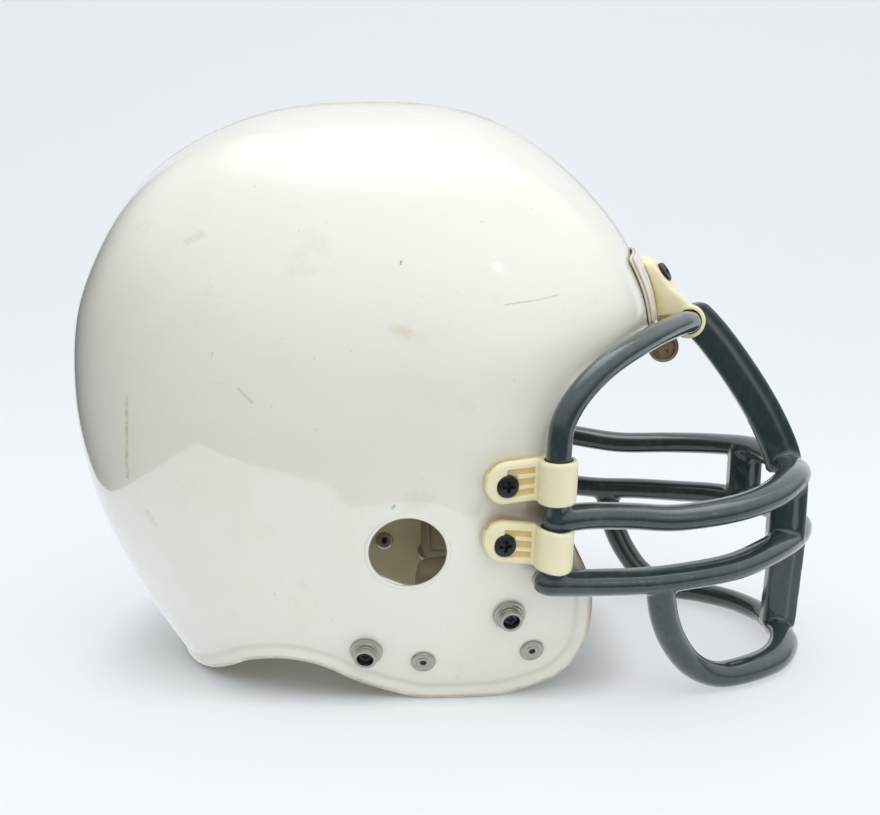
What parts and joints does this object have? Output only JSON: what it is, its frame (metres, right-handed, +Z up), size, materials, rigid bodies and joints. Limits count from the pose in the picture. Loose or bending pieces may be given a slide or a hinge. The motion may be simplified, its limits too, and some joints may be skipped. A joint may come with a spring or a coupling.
{
  "type": "football_helmet",
  "caption": "Used white football helmet, seen from the wearer's right, with a slate plastic face guard on cream loop straps, ear holes, metal chin-strap studs and liner pads",
  "frame": {"origin": "on the surface the helmet stands on, under the middle of its length and width", "axes": "+X runs forward through the face guard, +Y to the wearer's left, +Z up"},
  "size_m": [0.3544, 0.2244, 0.263],
  "materials": {
    "shell_white": "glossy moulded polycarbonate, slightly yellowed and scuffed",
    "guard_slate": "semi-gloss moulded plastic, worn",
    "strap_cream": "satin aged nylon",
    "plate_clear": "thin pale moulded plate",
    "roll_tan": "satin vinyl roll",
    "screw_black": "blackened steel, satin",
    "fastener_steel": "nickel-plated, dulled",
    "pad_vinyl": "soft vinyl over foam"
  },
  "bodies": {
    "helmet": {"brow_plate": "plate_clear", "brow_roll": "roll_tan", "brow_screw_left": "screw_black", "brow_screw_right": "screw_black", "brow_strap_left": "strap_cream", "brow_strap_right": "strap_cream", "brow_tnut_left": "fastener_steel", "brow_tnut_right": "fastener_steel", "chin_stud_front_left": "fastener_steel", "chin_stud_front_right": "fastener_steel", "chin_stud_rear_left": "fastener_steel", "chin_stud_rear_right": "fastener_steel", "crown_pad": "pad_vinyl", "front_pad": "pad_vinyl", "hole_plug_left": "shell_white", "hole_plug_right": "shell_white", "jaw_rivet_front_left": "fastener_steel", "jaw_rivet_front_right": "fastener_steel", "jaw_rivet_rear_left": "fastener_steel", "jaw_rivet_rear_right": "fastener_steel", "jaw_socket_front_left": "fastener_steel", "jaw_socket_front_right": "fastener_steel", "jaw_socket_rear_left": "fastener_steel", "jaw_socket_rear_right": "fastener_steel", "rear_pad": "pad_vinyl", "shell": "shell_white", "side_pad_left": "pad_vinyl", "side_pad_right": "pad_vinyl", "side_tnut_lower_left": "fastener_steel", "side_tnut_lower_right": "fastener_steel", "side_tnut_upper_left": "fastener_steel", "side_tnut_upper_right": "fastener_steel", "stud_nut_front_left": "fastener_steel", "stud_nut_front_right": "fastener_steel", "stud_nut_rear_left": "fastener_steel", "stud_nut_rear_right": "fastener_steel", "stud_screw_front_left": "screw_black", "stud_screw_front_right": "screw_black", "stud_screw_rear_left": "screw_black", "stud_screw_rear_right": "screw_black"},
    "guard": {"guard_brow_bar": "guard_slate", "guard_chin_strut": "guard_slate", "guard_jaw_loop": "guard_slate", "guard_left_strut": "guard_slate", "guard_lower_bar": "guard_slate", "guard_nose_strut": "guard_slate", "guard_right_strut": "guard_slate", "guard_upper_bar": "guard_slate", "side_screw_lower_left": "screw_black", "side_screw_lower_right": "screw_black", "side_screw_upper_left": "screw_black", "side_screw_upper_right": "screw_black", "side_strap_lower_left": "strap_cream", "side_strap_lower_right": "strap_cream", "side_strap_upper_left": "strap_cream", "side_strap_upper_right": "strap_cream"},
    "jaw_pad_left": {"jaw_pad_left": "pad_vinyl"},
    "jaw_pad_right": {"jaw_pad_right": "pad_vinyl"}
  },
  "joints": [
    {"name": "guard_swing", "type": "hinge", "parent": "helmet", "child": "guard", "pos_m": [0.11083, 0, 0.16226], "axis": [0, -1, 0], "range_deg": [0, 80]},
    {"name": "jaw_pad_pull_left", "type": "slide", "parent": "helmet", "child": "jaw_pad_left", "axis": [0, -1, 0], "range_m": [0, 0.015]},
    {"name": "jaw_pad_pull_right", "type": "slide", "parent": "helmet", "child": "jaw_pad_right", "axis": [0, 1, 0], "range_m": [0, 0.015]}
  ]
}
